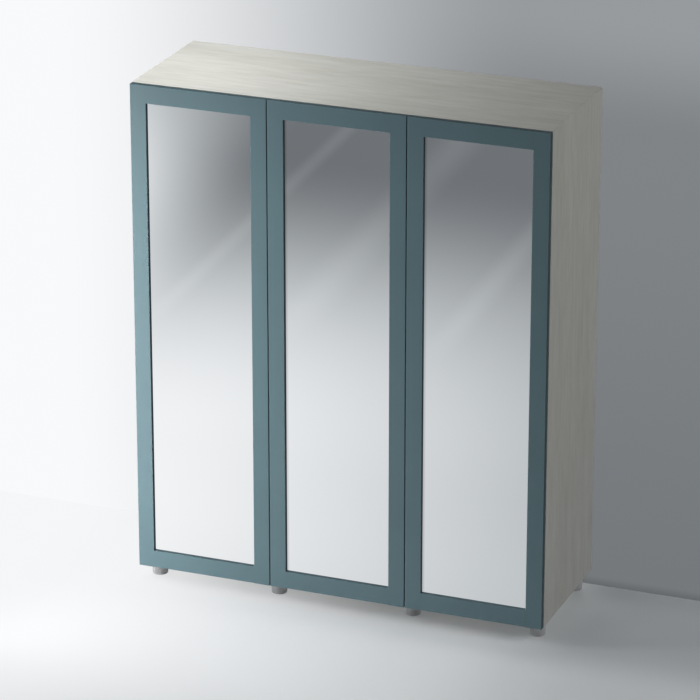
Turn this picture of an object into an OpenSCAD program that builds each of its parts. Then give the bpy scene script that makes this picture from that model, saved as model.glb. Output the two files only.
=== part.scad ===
// Three-door wardrobe with framed mirror doors on concealed cup hinges.
// Millimetres, Z up. The origin is on the floor, under the middle of the wardrobe, and the doors face -Y.

/* [Wardrobe] */
// Overall width of the carcass
width = 1800; // [1650:10:2100]
// Overall height from the floor to the top
height = 2200; // [1900:10:2500]
// Overall depth from the door faces to the back
depth = 650; // [560:10:720]
// Thickness of the carcass boards
board = 18; // [16:1:22]
// Thickness of the back panels
back_t = 8; // [6:1:10]
// Width of the rebates that hold the back panels in the outer boards
back_lap = 8; // [6:1:10]
// Width of the rebates that hold the back panels in the partitions
partition_lap = 6; // [4:0.5:7]

/* [Feet] */
// Height of the feet
foot_h = 70; // [50:5:110]
// Diameter of the feet
foot_d = 67; // [50:1:80]
// Rounding of the foot's lower edge
foot_round = 3; // [1:0.5:5]
// Distance from the carcass end to the middle of an end foot
foot_end = 52; // [45:1:70]
// Distance from the carcass front edge to the middle of a front foot
foot_front = 79; // [50:1:120]
// Distance from the carcass back to the middle of a back foot
foot_back = 63; // [50:1:120]
// Side of the square foot plates
foot_plate = 74; // [56:1:84]
// Thickness of the foot plates
foot_plate_t = 3; // [2:0.5:5]
// Diameter of the levelling spindles
spindle_d = 10; // [8:1:12]

/* [Doors] */
// Thickness of the door frames
door_t = 22; // [20:1:26]
// Gap between neighbouring doors
door_gap = 3; // [2.5:0.5:5]
// Gap between the door backs and the carcass edges
door_stand = 3; // [2.5:0.5:4]
// Reveal of the carcass above and below the doors
door_reveal = 1; // [0:0.5:4]
// Width of the stiles as seen from the front
stile_w = 70; // [62:1:100]
// Height of the rails as seen from the front
rail_h = 76; // [60:1:120]
// Radius of the frame's outer front edge
edge_round = 2.5; // [1:0.5:4]
// Radius of the frame's edge round the mirror
inner_round = 1.5; // [0.5:0.5:3]
// Chamfer of the frame's outer back edge
back_chamfer = 1; // [0.5:0.5:2]
// Length of the stub tenons on the rails
tenon_l = 15; // [8:1:25]
// Thickness of the stub tenons
tenon_t = 8; // [6:1:9]
// Shoulder above and below the stub tenons
tenon_shoulder = 15; // [8:1:20]

/* [Mirrors] */
// Depth of the mirror face behind the door face
mirror_set = 10; // [7:0.5:11]
// Thickness of the mirror glass
mirror_t = 4; // [3:0.5:5]
// Width of the frame lip in front of the mirror
mirror_lip = 10; // [6:0.5:12]
// Clearance round the glass and the backing inside the frame
mirror_play = 1; // [0.5:0.5:2]
// Thickness of the foam tape between the glass and the backing
tape_t = 1; // [0.5:0.5:2]
// Width of one strip of tape
tape_w = 25; // [15:1:40]
// Thickness of the backing board
backing_t = 5.7; // [3:0.1:6]

/* [Hinges] */
// Number of hinges on each door
hinge_count = 4; // [3:1:5]
// Distance from the door's end to its first hinge
hinge_end = 100; // [80:5:140]
// Diameter of the hinge cups
cup_d = 35; // [35:0.5:37]
// Depth of the cup holes
cup_depth = 12.5; // [12:0.1:13]
// Wood left between the cup hole and the door edge
cup_edge = 3; // [3:0.25:5]
// Thickness of the cup's wall and floor
cup_wall = 1.2; // [0.8:0.1:1.4]
// Radius of the hinge pins
pin_r = 1.5; // [1.25:0.05:1.6]
// Thickness of the bent links
link_t = 2; // [1.5:0.1:2.2]
// Thickness of the hinge arm's sheet
arm_t = 1.4; // [1:0.1:1.5]
// Thickness of the mounting plates
plate_t = 3; // [2:0.5:4]
// Distance of the mounting screws from the carcass edge
plate_set = 37; // [32:1:45]
// Spacing of the two mounting screws
plate_pitch = 32; // [28:1:36]
// Radius of the screw holes in plates and cups
screw_hole_r = 2.2; // [1.5:0.1:2.5]

/* [Inside] */
// Depth of the hat shelves and the shelves below the top
hat_drop = 330; // [250:10:420]
// Number of shelves in the right bay
shelf_count = 4; // [2:1:6]
// Distance of the shelf fronts behind the carcass edge
shelf_set = 30; // [20:5:60]
// Gap between a shelf and the boards beside it
shelf_play = 1; // [0.5:0.5:2]
// Diameter of the shelf pins
shelf_pin_d = 5; // [4:0.5:6]
// Height of the oval clothes rails
rail_tube_h = 30; // [25:1:36]
// Width of the oval clothes rails
rail_tube_w = 15; // [12:1:20]
// Wall of the clothes rails
rail_tube_wall = 1.2; // [0.8:0.1:2]
// Drop from the hat shelf to the middle of a clothes rail
rail_drop = 60; // [45:5:90]
// Diameter of the beech dowels
dowel_d = 8; // [6:1:10]
// Length of the beech dowels
dowel_l = 30; // [24:1:34]
// Wood left over the end of a dowel
dowel_skin = 6; // [4:1:8]

/* [Hidden] */
$fn = 48;
eps = 0.01;
// Length by which a cutting shape passes the surface it cuts
over = 1;

// Colours of the finishes
oak = [0.70, 0.69, 0.67];
teal = [0.47, 0.58, 0.62];
satin_grey = [0.55, 0.55, 0.55];
steel = [0.74, 0.75, 0.77];
zinc = [0.62, 0.63, 0.65];
silver_glass = [0.86, 0.88, 0.90];
fibreboard = [0.62, 0.52, 0.40];
foam_white = [0.92, 0.92, 0.90];
beech = [0.84, 0.70, 0.52];
clear_rubber = [0.88, 0.88, 0.84];

// Carcass planes
x_end = width / 2;
y_face = -depth / 2;
y_door_back = y_face + door_t;
y_case = y_door_back + door_stand;
y_back = depth / 2;
z_case = foot_h;
z_in_low = z_case + board;
z_in_high = height - board;
bay = width / 3;
partition_x = bay / 2;
case_d = y_back - y_case;
shelf_y = y_case + shelf_set;
shelf_back = y_back - back_t - shelf_play;
hat_z = height - hat_drop;
rail_z = hat_z - rail_drop;
rail_y = (shelf_y + shelf_back) / 2;

// Door sizes: the door's own u runs from its hinge edge inward, v from its face back
door_w = bay - door_gap;
door_z = z_case + door_reveal;
door_h = height - door_reveal - door_z;
rebate_v = mirror_set;
core_w = stile_w - mirror_lip;
glass_w = door_w - 2 * (core_w + mirror_play);
glass_h = door_h - 2 * (rail_h - mirror_lip + mirror_play);
glass_z = door_z + rail_h - mirror_lip + mirror_play;
rail_l = door_w - 2 * stile_w;
tenon_v = (rebate_v + door_t - tenon_t) / 2;
tenon_h = rail_h - mirror_lip - 2 * tenon_shoulder;
tenon_play = 0.2;
// Pilot holes for screws: their radius and their depths in the boards and in the door frames
pilot_r = screw_hole_r - 0.3;
board_pilot = 12;
door_pilot = 10;

// Hinge layout in plan, with u from the hinge edge inward and v from the door's back face
pin_play = 0.05;
cup_play = 0.05;
eye_r = pin_r + 1.2;
inner_end_r = pin_r + 1.1;
cup_u = cup_edge + cup_d / 2;
cup_in_r = cup_d / 2 - cup_wall;
cup_floor = cup_wall - cup_depth;
rim_r = cup_d / 2 + 0.5;
rim_t = 0.7;
wing_t = 1.2;
wing_w = 14;
wing_l = 58;
wing_screw = 24;
cup_bite = 0.2;
cup_cheek_r = 3;
cup_cheek_t = 1.5;
lug_r = 2.6;
door_pin_out = [cup_edge + 7.5, -7.7];
door_pin_in = [cup_edge + 14, -3.6];
arm_pin_out = [cup_edge + 24, 22];
arm_pin_in = [cup_edge + 34.5, 6.1];
inner_end = [cup_edge + 34, 6];
// Bends of the outer link, which reaches round the cup's rim when the door is open
outer_bends = [
  door_pin_out,
  [cup_edge + 12, -9.5],
  [cup_edge + 21.8, -9.5],
  [cup_edge + 23.2, -8.6],
  [cup_edge + 24.8, -5],
  [cup_edge + 25.6, 4],
  [cup_edge + 25.4, 14],
  arm_pin_out
];
// Bends of the inner link
inner_bends = [
  door_pin_in,
  [cup_edge + 18, -6.4],
  [cup_edge + 23, -7],
  [cup_edge + 28, -4.5],
  [cup_edge + 31.5, 0.5],
  inner_end
];
// The bridge between the link's two plates lies on the straight stretch next to the arm's rivet
bridge_bends = [for (share = [0.4, 0.95]) outer_bends[5] + share * (outer_bends[6] - outer_bends[5])];
bridge_t = 0.8 * link_t;
bridge_bite = 0.5;
// Half widths across the hinge, from its middle outward
inner_half = 1.6;
lug_in = 1.8;
lug_out = 2.8;
outer_in = 3;
outer_out = 4.4;
cheek_in = 4.7;
cheek_out = cheek_in + arm_t;
cup_cheek_out = cheek_in + cup_cheek_t;
rivet_bite = 0.1;
rivet_head = 0.4;
arm_top = cup_edge + 41.4;
arm_rear = 81;
arm_h = 11;
// Outline of the arm's cheek: its nose round the inner pin, and where its edges bend
arm_nose = [3.3, 1.8];
arm_nose_top = 0.5;
arm_tip = door_stand - 0.6;
arm_top_bend = 27;
arm_top_end = 46;
arm_web_step = 0.6;
arm_low_end = 36;
arm_low_bend = 24;
arm_low_front = 20;
arm_low_u = arm_pin_out[0] - 4;
plate_front = 20;
plate_rear = 80;
plate_bar = 9;
plate_wing = 25;
plate_wing_w = 14;
post_front = 50;
post_rear = 74;
arm_screw = 62;

// Small fittings
pin_in_board = 9;
pin_out_board = 8;
pin_tab_t = 3;
pin_tab_w = 9;
pin_end_play = 0.5;
pin_key_w = 0.8 * shelf_pin_d;
shelf_pin_in = 60;
socket_wall = 2.5;
socket_l = 12;
socket_flange = 3;
socket_rim = 4;
socket_play = 0.3;
buffer_r = 2.8;
buffer_gap = 0.3;
buffer_end = 60;
dowel_play = 0.1;
spindle_play = 0.1;
spindle_in_foot = 30;
spindle_end_play = 1;
foot_screw_inset = 8;
back_play = 0.5;
foot_top_round = 1;

function hinge_z(i) = door_z + hinge_end + i * (door_h - 2 * hinge_end) / (hinge_count - 1);
function shelf_z(i) = z_in_low + i * (z_in_high - z_in_low) / (shelf_count + 1) - board / 2;
function foot_xs() = [-x_end + foot_end, -partition_x, partition_x, x_end - foot_end];
function foot_ys() = [y_case + foot_front, y_back - foot_back];
// Left edge of door n
function door_x(n) = -x_end + (n - 1) * bay + door_gap / 2;
// Doors 1 and 2 hang on their left edge, door 3 on its right edge
function hinge_left(n) = n < 3;
function hinge_x(n) = hinge_left(n) ? door_x(n) : door_x(n) + door_w;
// Face of the board that carries the hinges of door n, from the door's hinge edge
function panel_u(n) = n == 2 ? (board - door_gap) / 2 : board - door_gap / 2;
// Points of a circular arc
function arc(c, r, from, to, steps) =
  [for (i = [0:steps]) let (a = from + (to - from) * i / steps) c + r * [cos(a), sin(a)]];
// Direction across a stretch of bends, and across the corner at bend i, long enough for an even strip
function across(from, to) = [from[1] - to[1], to[0] - from[0]] / norm(to - from);
function mitre(bends, i) =
  i == 0 ? across(bends[0], bends[1])
  : i == len(bends) - 1 ? across(bends[i - 1], bends[i])
  : let (a = across(bends[i - 1], bends[i]), b = across(bends[i], bends[i + 1])) (a + b) / (1 + a * b);
// Positions of the dowels along the depth
function dowel_ys() = [y_case + case_d / 6, y_case + case_d / 2, y_case + case_d * 5 / 6];

// Extrudes a plan drawing between two heights
module between(low, high) {
  translate([0, 0, low]) linear_extrude(high - low) children();
}

// Extrudes a plan drawing on both sides of the middle
module both_sides(near, far) {
  between(near, far) children();
  between(-far, -near) children();
}

// Extrudes a drawing in X and Z along the depth
module along_depth(front, back) {
  translate([0, back, 0]) rotate([90, 0, 0]) linear_extrude(back - front) children();
}

// Box given by its low and high corners
module block(low, high) {
  translate(low) cube(high - low);
}

// Strip of even thickness along bends, with mitred corners
module strip(bends, t) {
  last = len(bends) - 1;
  polygon(concat(
    [for (i = [0:last]) bends[i] + t / 2 * mitre(bends, i)],
    [for (i = [last:-1:0]) bends[i] - t / 2 * mitre(bends, i)]
  ));
}

// Shelf pins of one board face: x of the face and the direction into the board
module pin_holes(x, dir, heights) {
  for (z = heights, y = [shelf_y + shelf_pin_in, shelf_back - shelf_pin_in])
    translate([x - dir * eps, y, z - pin_tab_t - shelf_pin_d / 2]) rotate([0, dir * 90, 0])
      cylinder(h = pin_in_board + eps, d = shelf_pin_d + 2 * pin_play);
}

module pins_at(x, dir, heights) {
  for (z = heights, y = [shelf_y + shelf_pin_in, shelf_back - shelf_pin_in]) {
    translate([x + dir * (pin_in_board - pin_end_play), y, z - pin_tab_t - shelf_pin_d / 2])
      rotate([0, -dir * 90, 0])
        cylinder(h = pin_in_board - pin_end_play + pin_out_board, d = shelf_pin_d);
    translate([x - dir * (pin_out_board + shelf_play) / 2, y, z - pin_tab_t / 2])
      cube([pin_out_board - shelf_play, pin_tab_w, pin_tab_t], center = true);
    translate([x - dir * (pin_out_board + shelf_play) / 2, y, z - pin_tab_t - shelf_pin_d / 4])
      cube([pin_out_board - shelf_play, pin_key_w, shelf_pin_d / 2], center = true);
  }
}

shelf_heights = [for (i = [1:shelf_count]) shelf_z(i)];

// Rebate for the back panel along one board face
module back_rebate(x_low, x_high, z_low, z_high) {
  block([x_low, y_back - back_t, z_low], [x_high, y_back + over, z_high]);
}

// Holes for the mounting screws of a hinge, in a board whose face is at x
module mounting_holes(x, dir) {
  for (i = [0:hinge_count - 1], s = [-1, 1])
    translate([x - dir * eps, y_case + plate_set, hinge_z(i) + s * plate_pitch / 2])
      rotate([0, dir * 90, 0]) cylinder(h = board_pilot, r = pilot_r);
}

// Dowel positions between the bottom board and the sides
module bottom_dowels(grow) {
  for (s = [-1, 1], y = dowel_ys())
    translate([s * (x_end - dowel_skin - dowel_l), y, z_case + board / 2]) rotate([0, s * 90, 0])
      translate([0, 0, -grow]) cylinder(h = dowel_l + 2 * grow, d = dowel_d + 2 * grow);
}

// Dowels between the partitions and the boards above and below
module partition_dowels(grow) {
  for (s = [-1, 1], y = dowel_ys(), z = [z_in_low, z_in_high]) {
    into = board - dowel_skin;
    low = z == z_in_low ? z - into : z - (dowel_l - into);
    translate([s * partition_x, y, low - grow]) cylinder(h = dowel_l + 2 * grow, d = dowel_d + 2 * grow);
  }
}

// One outer side, drawn for the right end, with a mitre at the top
module side_board() {
  difference() {
    along_depth(y_case, y_back)
      polygon([[x_end - board, z_case], [x_end, z_case], [x_end, height], [x_end - board, z_in_high]]);
    back_rebate(x_end - board - over, x_end - board + back_lap, z_in_low - back_lap, z_in_high + back_lap);
    mounting_holes(x_end - board, 1);
    bottom_dowels(dowel_play);
  }
}

module side_right() {
  color(oak) difference() {
    side_board();
    pin_holes(x_end - board, 1, shelf_heights);
  }
}

module side_left() {
  color(oak) difference() {
    mirror([1, 0, 0]) side_board();
    pin_holes(-x_end + board, -1, [hat_z]);
  }
}

module partition_board(x) {
  difference() {
    block([x - board / 2, y_case, z_in_low], [x + board / 2, y_back, z_in_high]);
    back_rebate(x - board / 2 - over, x - board / 2 + partition_lap, z_in_low - over, z_in_high + over);
    back_rebate(x + board / 2 - partition_lap, x + board / 2 + over, z_in_low - over, z_in_high + over);
    partition_dowels(dowel_play);
  }
}

module partition_left() {
  color(oak) difference() {
    partition_board(-partition_x);
    mounting_holes(-partition_x + board / 2, -1);
    pin_holes(-partition_x - board / 2, 1, [hat_z]);
    pin_holes(-partition_x + board / 2, -1, [hat_z]);
  }
}

module partition_right() {
  color(oak) difference() {
    partition_board(partition_x);
    pin_holes(partition_x - board / 2, 1, [hat_z]);
    pin_holes(partition_x + board / 2, -1, shelf_heights);
  }
}

module top_panel() {
  color(oak) difference() {
    along_depth(y_case, y_back)
      polygon([[-x_end, height], [-x_end + board, z_in_high], [x_end - board, z_in_high], [x_end, height]]);
    back_rebate(-x_end + board - back_lap, x_end - board + back_lap, z_in_high - over, z_in_high + back_lap);
    partition_dowels(dowel_play);
  }
}

module bottom_panel() {
  color(oak) difference() {
    block([-x_end + board, y_case, z_case], [x_end - board, y_back, z_in_low]);
    back_rebate(-x_end, x_end, z_in_low - back_lap, z_in_low + over);
    bottom_dowels(dowel_play);
    partition_dowels(dowel_play);
  }
}

// One panel behind each bay, lying in the rebates of the boards round it
module back_panels() {
  ends = [
    [-x_end + board - back_lap, -partition_x - board / 2 + partition_lap],
    [-partition_x + board / 2 - partition_lap, partition_x - board / 2 + partition_lap],
    [partition_x + board / 2 - partition_lap, x_end - board + back_lap]
  ];
  color(oak) for (e = ends)
    block([e[0] + back_play, y_back - back_t, z_in_low - back_lap + back_play],
          [e[1] - back_play, y_back, z_in_high + back_lap - back_play]);
}

module shelf_board(x_low, x_high, z) {
  block([x_low + shelf_play, shelf_y, z], [x_high - shelf_play, shelf_back, z + board]);
}

module hat_shelves() {
  color(oak) {
    shelf_board(-x_end + board, -partition_x - board / 2, hat_z);
    shelf_board(-partition_x + board / 2, partition_x - board / 2, hat_z);
  }
}

module shelves() {
  color(oak) for (z = shelf_heights) shelf_board(partition_x + board / 2, x_end - board, z);
}

module shelf_pins() {
  color(steel) {
    pins_at(-x_end + board, -1, [hat_z]);
    pins_at(-partition_x - board / 2, 1, [hat_z]);
    pins_at(-partition_x + board / 2, -1, [hat_z]);
    pins_at(partition_x - board / 2, 1, [hat_z]);
    pins_at(partition_x + board / 2, -1, shelf_heights);
    pins_at(x_end - board, 1, shelf_heights);
  }
}

// Oval outline, upright, drawn in Y and Z and grown by a margin
module oval(grow) {
  r = rail_tube_w / 2;
  straight = rail_tube_h / 2 - r;
  for (s = [-1, 1]) translate([s * straight, 0]) circle(r + grow);
  square([2 * straight, 2 * (r + grow)], center = true);
}

// Extrudes the oval along X, from one end to the other
module oval_bar(from, to, grow) {
  translate([from, rail_y, rail_z]) rotate([0, 90, 0]) linear_extrude(to - from) oval(grow);
}

rail_bays = [[-x_end + board, -partition_x - board / 2], [-partition_x + board / 2, partition_x - board / 2]];

module clothes_rails() {
  color(steel) for (b = rail_bays) difference() {
    oval_bar(b[0] + socket_flange, b[1] - socket_flange, 0);
    oval_bar(b[0], b[1], -rail_tube_wall);
  }
}

// Cup on each end of a rail, with its flange flat on the board
module rail_sockets() {
  color(zinc) for (b = rail_bays) {
    difference() {
      union() {
        oval_bar(b[0], b[0] + socket_flange, socket_wall + socket_rim);
        oval_bar(b[0], b[0] + socket_l, socket_wall);
      }
      oval_bar(b[0] + socket_flange, b[0] + socket_l + over, socket_play);
    }
    difference() {
      union() {
        oval_bar(b[1] - socket_flange, b[1], socket_wall + socket_rim);
        oval_bar(b[1] - socket_l, b[1], socket_wall);
      }
      oval_bar(b[1] - socket_l - over, b[1] - socket_flange, socket_play);
    }
  }
}

module dowels() {
  color(beech) {
    bottom_dowels(0);
    partition_dowels(0);
  }
}

// Calls its children at every foot, with the floor at zero
module at_feet() {
  for (x = foot_xs(), y = foot_ys()) translate([x, y, 0]) children();
}

module foot_plates() {
  hole_at = foot_plate / 2 - foot_screw_inset;
  color(zinc) at_feet() difference() {
    translate([-foot_plate / 2, -foot_plate / 2, foot_h - foot_plate_t])
      cube([foot_plate, foot_plate, foot_plate_t]);
    translate([0, 0, foot_h - foot_plate_t - over])
      cylinder(h = foot_plate_t + 2 * over, d = spindle_d + 2 * spindle_play);
    for (sx = [-1, 1], sy = [-1, 1]) translate([sx * hole_at, sy * hole_at, foot_h - foot_plate_t - over])
      cylinder(h = foot_plate_t + 2 * over, r = screw_hole_r);
  }
}

// Turned foot with a rounded lower edge and a bore for the spindle
module feet() {
  r = foot_d / 2;
  top = foot_h - foot_plate_t;
  outline = concat(
    [[0, 0]],
    arc([r - foot_round, foot_round], foot_round, -90, 0, 5),
    arc([r - foot_top_round, top - foot_top_round], foot_top_round, 0, 90, 2),
    [[0, top]]
  );
  color(satin_grey) at_feet() difference() {
    rotate_extrude($fn = 64) polygon(outline);
    translate([0, 0, top - spindle_in_foot])
      cylinder(h = spindle_in_foot + over, d = spindle_d + 2 * spindle_play);
  }
}

module foot_spindles() {
  length = spindle_in_foot - spindle_end_play + foot_plate_t;
  color(steel) at_feet() translate([0, 0, foot_h - length]) cylinder(h = length, d = spindle_d);
}

// Calls its children at every hinge of door n, in the hinge's own plan: u inward, v back from the door
module at_hinges(n) {
  for (i = [0:hinge_count - 1]) translate([hinge_x(n), y_door_back, hinge_z(i)])
    mirror([hinge_left(n) ? 0 : 1, 0, 0]) children();
}

// Cross plate on the board, with a post that the arm sits on
module hinge_plate(u) {
  top = u + arm_h + plate_t - arm_t;
  difference() {
    union() {
      between(-plate_bar, plate_bar)
        translate([u, door_stand + plate_front]) square([plate_t, plate_rear - plate_front]);
      between(-plate_wing, plate_wing)
        translate([u, door_stand + plate_set - plate_wing_w / 2]) square([plate_t, plate_wing_w]);
      between(-outer_out, outer_out)
        translate([u, door_stand + post_front]) square([top - u, post_rear - post_front]);
    }
    for (s = [-1, 1]) translate([u - over, door_stand + plate_set, s * plate_pitch / 2]) rotate([0, 90, 0])
      cylinder(h = plate_t + 2 * over, r = screw_hole_r);
    translate([u + plate_t, door_stand + arm_screw, 0]) rotate([0, 90, 0])
      cylinder(h = arm_h, r = screw_hole_r);
  }
}

module hinge_plates() {
  color(zinc) for (n = [1:3]) at_hinges(n) hinge_plate(panel_u(n));
}

// Channel arm: two cheeks and a web, raised at its front to carry the links
module hinge_arm(u) {
  low = u + plate_t;
  high = low + arm_h;
  rear = door_stand + arm_rear;
  side = [
    [arm_pin_in[0] - arm_nose[0], arm_pin_in[1] - arm_nose[1]],
    [arm_pin_in[0] - arm_nose_top, arm_tip],
    [arm_top, arm_tip],
    [arm_top, arm_top_bend],
    [high, arm_top_end],
    [high, rear],
    [low, rear],
    [low, arm_low_end],
    [arm_low_u, arm_low_bend],
    [arm_low_u, arm_low_front]
  ];
  hollow = [
    [u, arm_tip - 10 * over],
    [arm_top - arm_t, arm_tip - 10 * over],
    [arm_top - arm_t, arm_top_bend - arm_web_step],
    [high - arm_t, arm_top_end - arm_web_step],
    [high - arm_t, rear + over],
    [u, rear + over]
  ];
  difference() {
    between(-cheek_out, cheek_out) polygon(side);
    between(-cheek_in, cheek_in) polygon(hollow);
    for (p = [arm_pin_out, arm_pin_in]) between(-cheek_out - over, cheek_out + over)
      translate(p) circle(pin_r + pin_play);
    translate([high - arm_t - over, door_stand + arm_screw, 0]) rotate([0, 90, 0])
      cylinder(h = arm_t + 2 * over, r = screw_hole_r);
  }
}

module hinge_arms() {
  color(steel) for (n = [1:3]) at_hinges(n) hinge_arm(panel_u(n));
}

// Rivets in the arm's cheeks: the outer link turns on one pair, the other pair ends at the cheeks
module arm_pins() {
  color(zinc) for (n = [1:3]) at_hinges(n) {
    both_sides(outer_in - rivet_bite, cheek_out + rivet_head) translate(arm_pin_out) circle(pin_r);
    both_sides(cheek_in, cheek_out + rivet_head) translate(arm_pin_in) circle(pin_r);
  }
}

// Ear that stands on the cup's floor and holds a pin
module cup_ear(pin, r) {
  translate(pin) circle(r);
  translate([pin[0] - r, cup_floor - cup_bite]) square([2 * r, pin[1] - cup_floor + cup_bite]);
}

// Pressed cup with its rim, wings, two cheeks for the outer link and two lugs for the inner link
module hinge_cup() {
  difference() {
    union() {
      difference() {
        union() {
          translate([cup_u, 0, 0]) rotate([90, 0, 0])
            cylinder(h = cup_depth - cup_play, r = cup_d / 2 - cup_play);
          translate([cup_u, rim_t, 0]) rotate([90, 0, 0]) cylinder(h = rim_t, r = rim_r);
          translate([cup_u - wing_w / 2, 0, -wing_l / 2]) cube([wing_w, wing_t, wing_l]);
        }
        translate([cup_u, wing_t + over, 0]) rotate([90, 0, 0])
          cylinder(h = wing_t + over - cup_floor, r = cup_in_r);
      }
      both_sides(cheek_in, cup_cheek_out) cup_ear(door_pin_out, cup_cheek_r);
      both_sides(lug_in, lug_out) cup_ear(door_pin_in, lug_r);
    }
    between(-cheek_out - over, cheek_out + over) translate(door_pin_out) circle(pin_r + pin_play);
    between(-lug_out - over, lug_out + over) translate(door_pin_in) circle(pin_r + pin_play);
    for (s = [-1, 1]) translate([cup_u, wing_t + over, s * wing_screw]) rotate([90, 0, 0])
      cylinder(h = wing_t + 2 * over, r = screw_hole_r);
  }
}

module hinge_cups(n) {
  color(steel) at_hinges(n) hinge_cup();
}

module cup_pins(n) {
  color(zinc) at_hinges(n) {
    both_sides(outer_in - rivet_bite, cup_cheek_out) translate(door_pin_out) circle(pin_r);
    between(-lug_out, lug_out) translate(door_pin_in) circle(pin_r);
  }
}

// Two bent plates joined by a bridge, with an eye at each end
module outer_link() {
  difference() {
    union() {
      both_sides(outer_in, outer_out) {
        strip(outer_bends, link_t);
        for (p = [door_pin_out, arm_pin_out]) translate(p) circle(eye_r);
      }
      between(-outer_in - bridge_bite, outer_in + bridge_bite) strip(bridge_bends, bridge_t);
    }
    for (p = [door_pin_out, arm_pin_out]) between(-outer_out - over, outer_out + over)
      translate(p) circle(pin_r + pin_play);
  }
}

module outer_links(n) {
  color(steel) at_hinges(n) outer_link();
}

// Narrow bent link between the lugs of the cup and the arm's tip
module inner_link() {
  difference() {
    between(-inner_half, inner_half) {
      strip(inner_bends, link_t);
      translate(door_pin_in) circle(eye_r);
      translate(inner_end) circle(inner_end_r);
    }
    for (p = [door_pin_in, inner_end]) between(-inner_half - over, inner_half + over)
      translate(p) circle(pin_r + pin_play);
  }
}

module inner_links(n) {
  color(zinc) at_hinges(n) inner_link();
}

// Small buffers on the partition edges, behind the free edge of each door
module door_buffers() {
  inset = (board / 2 + door_gap / 2) / 2;
  color(clear_rubber) for (x = [-partition_x - inset, partition_x - inset, partition_x + inset],
                           z = [z_in_low + buffer_end, z_in_high - buffer_end])
    translate([x, y_case, z]) rotate([90, 0, 0]) cylinder(h = door_stand - buffer_gap, r = buffer_r);
}

// Plan of a stile: u from its outer edge inward, v from the face back
module stile_plan() {
  polygon(concat(
    arc([edge_round, edge_round], edge_round, 180, 270, 5),
    arc([stile_w - inner_round, inner_round], inner_round, 270, 360, 4),
    [[stile_w, rebate_v], [core_w, rebate_v], [core_w, door_t], [back_chamfer, door_t],
     [0, door_t - back_chamfer]]
  ));
}

// Section of a rail: u from its outer edge toward the mirror, v from the face back
module rail_plan() {
  height_in = rail_h - mirror_lip;
  polygon(concat(
    arc([edge_round, edge_round], edge_round, 180, 270, 5),
    arc([rail_h - inner_round, inner_round], inner_round, 270, 360, 4),
    [[rail_h, rebate_v], [height_in, rebate_v], [height_in, door_t], [back_chamfer, door_t],
     [0, door_t - back_chamfer]]
  ));
}

// Mortises for the two rails' stub tenons, in a stile drawn from its outer edge inward
module mortises() {
  for (z = [tenon_shoulder - tenon_play, door_h - tenon_shoulder - tenon_h - tenon_play])
    translate([core_w - tenon_l - tenon_play, tenon_v - tenon_play, z])
      cube([tenon_l + tenon_play + eps, tenon_t + 2 * tenon_play, tenon_h + 2 * tenon_play]);
}

// Stile standing at its outer edge, with mortises and, on the hinge side, cup holes
module stile(hinged) {
  difference() {
    linear_extrude(door_h) stile_plan();
    mortises();
    if (hinged) for (i = [0:hinge_count - 1]) translate([cup_u, door_t, hinge_z(i) - door_z]) {
      rotate([90, 0, 0]) cylinder(h = cup_depth, r = cup_d / 2);
      for (s = [-1, 1]) translate([0, 0, s * wing_screw]) rotate([90, 0, 0])
        cylinder(h = door_pilot, r = pilot_r);
    }
  }
}

// Places a stile at the left edge of door n, or turned over at its right edge
module place_stile(n, left) {
  if (left) translate([door_x(n), y_face, door_z]) children();
  else translate([door_x(n) + door_w, y_face, door_z]) mirror([1, 0, 0]) children();
}

module hinge_stile(n) {
  color(teal) place_stile(n, hinge_left(n)) stile(true);
}

module free_stile(n) {
  color(teal) place_stile(n, !hinge_left(n)) stile(false);
}

// Rail with a lip in front of the mirror and a stub tenon at each end, drawn for the bottom of a door
module rail() {
  translate([stile_w, 0, 0]) rotate([90, 0, 90]) linear_extrude(rail_l)
    rotate(90) mirror([0, 1, 0]) rail_plan();
  for (x = [stile_w - mirror_lip, stile_w + rail_l])
    translate([x, rebate_v, back_chamfer])
      cube([mirror_lip, door_t - rebate_v, rail_h - mirror_lip - back_chamfer]);
  for (x = [stile_w - mirror_lip - tenon_l, stile_w + rail_l + mirror_lip])
    translate([x, tenon_v, tenon_shoulder]) cube([tenon_l, tenon_t, tenon_h]);
}

module bottom_rail(n) {
  color(teal) translate([door_x(n), y_face, door_z]) rail();
}

module top_rail(n) {
  color(teal) translate([door_x(n), y_face, door_z + door_h]) mirror([0, 0, 1]) rail();
}

module mirror_glass(n) {
  x = door_x(n) + core_w + mirror_play;
  y = y_face + mirror_set;
  color(silver_glass) block([x, y, glass_z], [x + glass_w, y + mirror_t, glass_z + glass_h]);
}

// Three upright strips between the glass and the backing
module mirror_tape(n) {
  y = y_face + mirror_set + mirror_t;
  middle = door_x(n) + door_w / 2;
  side = glass_w / 2 - mirror_lip - tape_w;
  color(foam_white) for (s = [-1, 0, 1])
    block([middle + s * side - tape_w / 2, y, glass_z + rail_h / 2],
          [middle + s * side + tape_w / 2, y + tape_t, glass_z + glass_h - rail_h / 2]);
}

module backing(n) {
  x = door_x(n) + core_w + mirror_play;
  y = y_face + mirror_set + mirror_t + tape_t;
  color(fibreboard) block([x, y, glass_z], [x + glass_w, y + backing_t, glass_z + glass_h]);
}

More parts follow.
